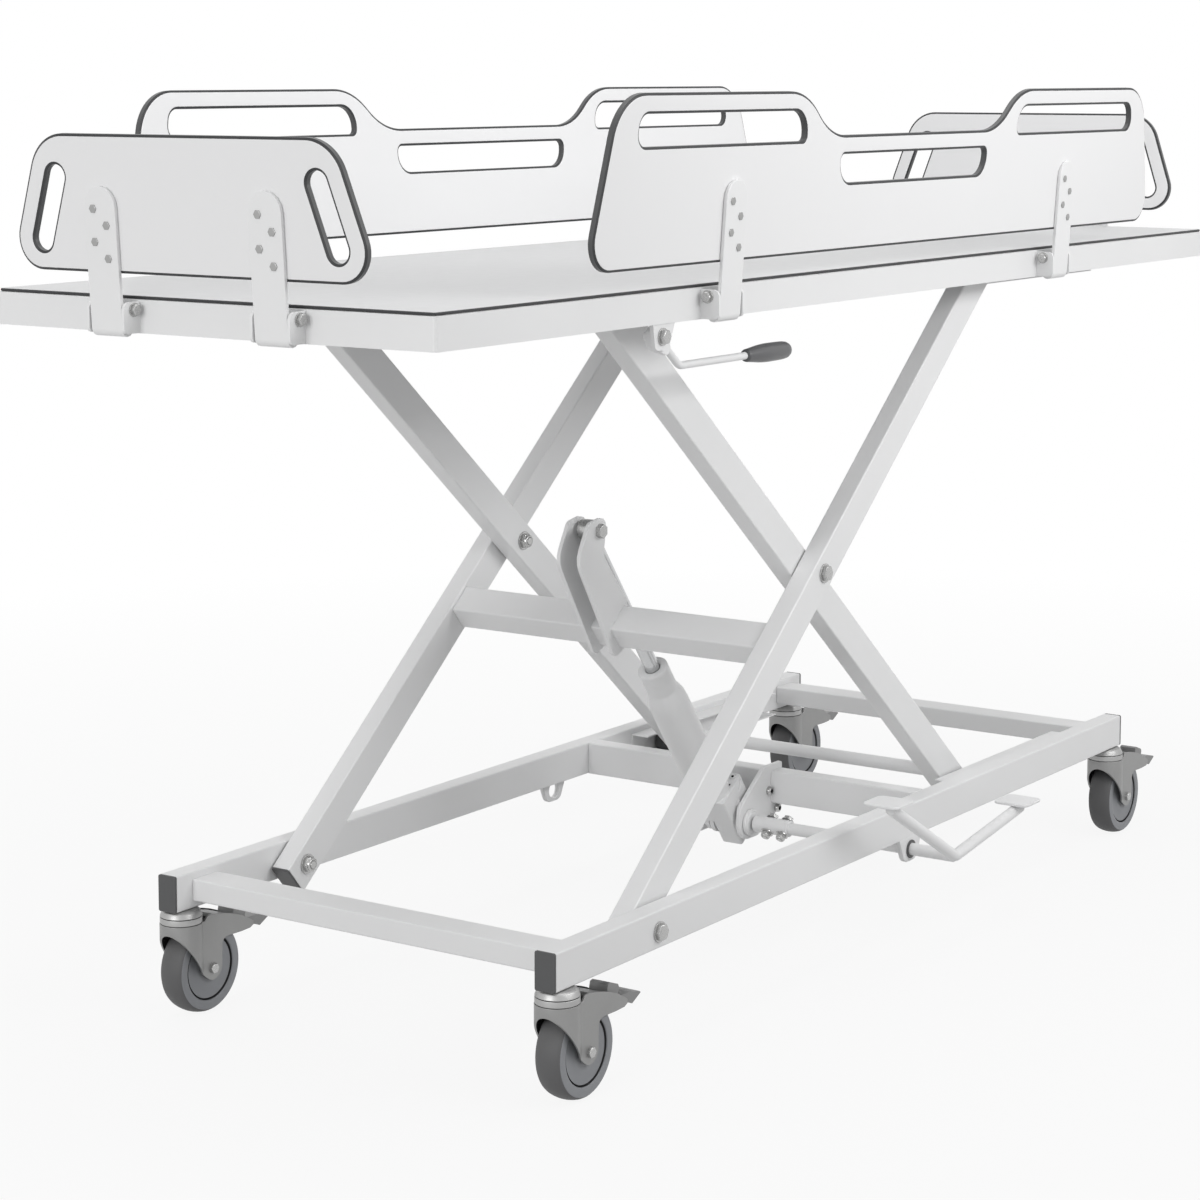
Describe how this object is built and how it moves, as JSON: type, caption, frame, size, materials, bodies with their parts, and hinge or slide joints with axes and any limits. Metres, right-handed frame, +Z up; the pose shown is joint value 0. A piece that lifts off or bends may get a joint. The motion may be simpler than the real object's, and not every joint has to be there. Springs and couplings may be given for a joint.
{
  "type": "shower trolley",
  "caption": "Height-adjustable shower trolley: scissor lift with hydraulic foot pump, laminate table with fold-down side and end guards, braked swivel casters.",
  "frame": {"origin": "on the floor at the centre of the bounding box, table raised and guards upright", "axes": "+X along the trolley towards the end away from the fixed arm pivots, +Z up, -Y the foot pedal side"},
  "size_m": [2.225, 0.8038, 1.2387],
  "materials": {
    "white_powder_coat": "satin powder coat",
    "white_laminate": "satin compact laminate with a dark core",
    "grey_laminate": "matt compact laminate with a dark core",
    "dark_plastic": "moulded",
    "zinc_plate": "zinc plated pressed steel",
    "grey_tyre": "grey thermoplastic rubber on a plastic disc",
    "chrome_rod": "hard chromed"
  },
  "bodies": {
    "base": {"near_rail": "white_powder_coat", "far_rail": "white_powder_coat", "left_cross_tube": "white_powder_coat", "right_cross_tube": "white_powder_coat", "pump_cross_tube": "white_powder_coat", "near_left_rail_cap": "dark_plastic", "near_right_rail_cap": "dark_plastic", "far_left_rail_cap": "dark_plastic", "far_right_rail_cap": "dark_plastic", "near_left_caster_head": "zinc_plate", "near_right_caster_head": "zinc_plate", "far_left_caster_head": "zinc_plate", "far_right_caster_head": "zinc_plate", "near_lower_pivot_bolt": "zinc_plate", "far_lower_pivot_bolt": "zinc_plate"},
    "outer_arms": {"near_outer_arm": "white_powder_coat", "far_outer_arm": "white_powder_coat", "near_arm_plug": "dark_plastic", "far_arm_plug": "dark_plastic", "lever_crossbar": "white_powder_coat"},
    "inner_arms": {"near_inner_arm": "white_powder_coat", "far_inner_arm": "white_powder_coat", "tie_bar": "white_powder_coat", "near_centre_bolt": "zinc_plate", "far_centre_bolt": "zinc_plate"},
    "table": {"table_frame": "white_powder_coat", "table_board": "grey_laminate"},
    "pump": {"pump_body": "white_powder_coat"},
    "ram": {"piston_rod": "chrome_rod"},
    "pedal": {"foot_pedal": "white_powder_coat"},
    "lever": {"release_lever": "white_powder_coat", "lever_grip": "dark_plastic"},
    "near_upper_slide": {"near_upper_slide": "dark_plastic"},
    "near_lower_slide": {"near_lower_slide": "dark_plastic"},
    "far_upper_slide": {"far_upper_slide": "dark_plastic"},
    "far_lower_slide": {"far_lower_slide": "dark_plastic"},
    "near_left_fork": {"near_left_caster_fork": "zinc_plate"},
    "near_left_wheel": {"near_left_caster_wheel": "grey_tyre"},
    "near_left_brake": {"near_left_caster_brake": "zinc_plate"},
    "near_right_fork": {"near_right_caster_fork": "zinc_plate"},
    "near_right_wheel": {"near_right_caster_wheel": "grey_tyre"},
    "near_right_brake": {"near_right_caster_brake": "zinc_plate"},
    "far_left_fork": {"far_left_caster_fork": "zinc_plate"},
    "far_left_wheel": {"far_left_caster_wheel": "grey_tyre"},
    "far_left_brake": {"far_left_caster_brake": "zinc_plate"},
    "far_right_fork": {"far_right_caster_fork": "zinc_plate"},
    "far_right_wheel": {"far_right_caster_wheel": "grey_tyre"},
    "far_right_brake": {"far_right_caster_brake": "zinc_plate"},
    "near_guard": {"near_guard": "white_laminate", "near_guard_strap_a": "white_powder_coat", "near_guard_strap_b": "white_powder_coat"},
    "far_guard": {"far_guard": "white_laminate", "far_guard_strap_a": "white_powder_coat", "far_guard_strap_b": "white_powder_coat"},
    "left_guard": {"left_guard": "white_laminate", "left_guard_strap_a": "white_powder_coat", "left_guard_strap_b": "white_powder_coat"},
    "right_guard": {"right_guard": "white_laminate", "right_guard_strap_a": "white_powder_coat", "right_guard_strap_b": "white_powder_coat"}
  },
  "joints": [
    {"name": "lift", "type": "hinge", "parent": "base", "child": "outer_arms", "pos_m": [-0.585, 0.01709, 0.172], "axis": [0, -1, 0], "range_deg": [-22, 0]},
    {"name": "scissor", "type": "hinge", "parent": "outer_arms", "child": "inner_arms", "pos_m": [-0.114, 0.01709, 0.566], "axis": [0, -1, 0], "range_deg": [0, 44]},
    {"name": "table_level", "type": "hinge", "parent": "inner_arms", "child": "table", "pos_m": [-0.585, 0.01709, 0.96], "axis": [0, -1, 0], "range_deg": [-22, 0]},
    {"name": "near_upper_slide_turn", "type": "hinge", "parent": "outer_arms", "child": "near_upper_slide", "pos_m": [0.357, -0.28741, 0.96], "axis": [0, -1, 0], "range_deg": [0, 22]},
    {"name": "near_lower_slide_turn", "type": "hinge", "parent": "inner_arms", "child": "near_lower_slide", "pos_m": [0.357, -0.25791, 0.172], "axis": [0, -1, 0], "range_deg": [-22, 0]},
    {"name": "far_upper_slide_turn", "type": "hinge", "parent": "outer_arms", "child": "far_upper_slide", "pos_m": [0.357, 0.32159, 0.96], "axis": [0, -1, 0], "range_deg": [0, 22]},
    {"name": "far_lower_slide_turn", "type": "hinge", "parent": "inner_arms", "child": "far_lower_slide", "pos_m": [0.357, 0.29209, 0.172], "axis": [0, -1, 0], "range_deg": [-22, 0]},
    {"name": "pump_tilt", "type": "hinge", "parent": "base", "child": "pump", "pos_m": [0.087, 0.01709, 0.133], "axis": [0, -1, 0], "range_deg": [-4.89, 0]},
    {"name": "ram_slide", "type": "slide", "parent": "pump", "child": "ram", "axis": [-0.5963, 0, 0.8027], "range_m": [-0.2053, 0]},
    {"name": "pedal_rock", "type": "hinge", "parent": "base", "child": "pedal", "pos_m": [0.087, -0.37791, 0.133], "axis": [0, -1, 0], "range_deg": [-12, 12], "stiffness_Nm_per_rad": 30},
    {"name": "lever_pull", "type": "hinge", "parent": "table", "child": "lever", "pos_m": [-0.612, -0.31491, 0.937], "axis": [0, -1, 0], "range_deg": [0, 7]},
    {"name": "near_left_swivel", "type": "hinge", "parent": "base", "child": "near_left_fork", "pos_m": [-0.79, -0.29091, 0.1305], "axis": [0, 0, 1], "continuous": true},
    {"name": "near_left_spin", "type": "hinge", "parent": "near_left_fork", "child": "near_left_wheel", "pos_m": [-0.754, -0.29091, 0.0625], "axis": [0, 1, 0], "continuous": true},
    {"name": "near_left_brake_press", "type": "hinge", "parent": "near_left_fork", "child": "near_left_brake", "pos_m": [-0.737, -0.29091, 0.131], "axis": [0, 1, 0], "range_deg": [0, 5]},
    {"name": "near_right_swivel", "type": "hinge", "parent": "base", "child": "near_right_fork", "pos_m": [0.79, -0.29091, 0.1305], "axis": [0, 0, 1], "continuous": true},
    {"name": "near_right_spin", "type": "hinge", "parent": "near_right_fork", "child": "near_right_wheel", "pos_m": [0.826, -0.29091, 0.0625], "axis": [0, 1, 0], "continuous": true},
    {"name": "near_right_brake_press", "type": "hinge", "parent": "near_right_fork", "child": "near_right_brake", "pos_m": [0.843, -0.29091, 0.131], "axis": [0, 1, 0], "range_deg": [0, 5]},
    {"name": "far_left_swivel", "type": "hinge", "parent": "base", "child": "far_left_fork", "pos_m": [-0.79, 0.32509, 0.1305], "axis": [0, 0, 1], "continuous": true},
    {"name": "far_left_spin", "type": "hinge", "parent": "far_left_fork", "child": "far_left_wheel", "pos_m": [-0.754, 0.32509, 0.0625], "axis": [0, 1, 0], "continuous": true},
    {"name": "far_left_brake_press", "type": "hinge", "parent": "far_left_fork", "child": "far_left_brake", "pos_m": [-0.737, 0.32509, 0.131], "axis": [0, 1, 0], "range_deg": [0, 5]},
    {"name": "far_right_swivel", "type": "hinge", "parent": "base", "child": "far_right_fork", "pos_m": [0.79, 0.32509, 0.1305], "axis": [0, 0, 1], "continuous": true},
    {"name": "far_right_spin", "type": "hinge", "parent": "far_right_fork", "child": "far_right_wheel", "pos_m": [0.826, 0.32509, 0.0625], "axis": [0, 1, 0], "continuous": true},
    {"name": "far_right_brake_press", "type": "hinge", "parent": "far_right_fork", "child": "far_right_brake", "pos_m": [0.843, 0.32509, 0.131], "axis": [0, 1, 0], "range_deg": [0, 5]},
    {"name": "near_guard_fold", "type": "hinge", "parent": "table", "child": "near_guard", "pos_m": [-0.02, -0.34391, 0.959], "axis": [1, 0, 0], "range_deg": [0, 174]},
    {"name": "far_guard_fold", "type": "hinge", "parent": "table", "child": "far_guard", "pos_m": [-0.02, 0.37809, 0.959], "axis": [-1, 0, 0], "range_deg": [0, 174]},
    {"name": "left_guard_fold", "type": "hinge", "parent": "table", "child": "left_guard", "pos_m": [-1.091, 0.01709, 0.959], "axis": [0, -1, 0], "range_deg": [0, 174]},
    {"name": "right_guard_fold", "type": "hinge", "parent": "table", "child": "right_guard", "pos_m": [1.091, 0.01709, 0.959], "axis": [0, 1, 0], "range_deg": [0, 174]}
  ],
  "couplings": [
    {"joint": "scissor", "follows": "lift", "ratio": -2},
    {"joint": "table_level", "follows": "lift", "ratio": 1},
    {"joint": "near_upper_slide_turn", "follows": "lift", "ratio": -1},
    {"joint": "near_lower_slide_turn", "follows": "lift", "ratio": 1},
    {"joint": "far_upper_slide_turn", "follows": "lift", "ratio": -1},
    {"joint": "far_lower_slide_turn", "follows": "lift", "ratio": 1},
    {"joint": "pump_tilt", "follows": "lift", "ratio": 0.213},
    {"joint": "ram_slide", "follows": "lift", "m_per_rad": 0.532}
  ]
}
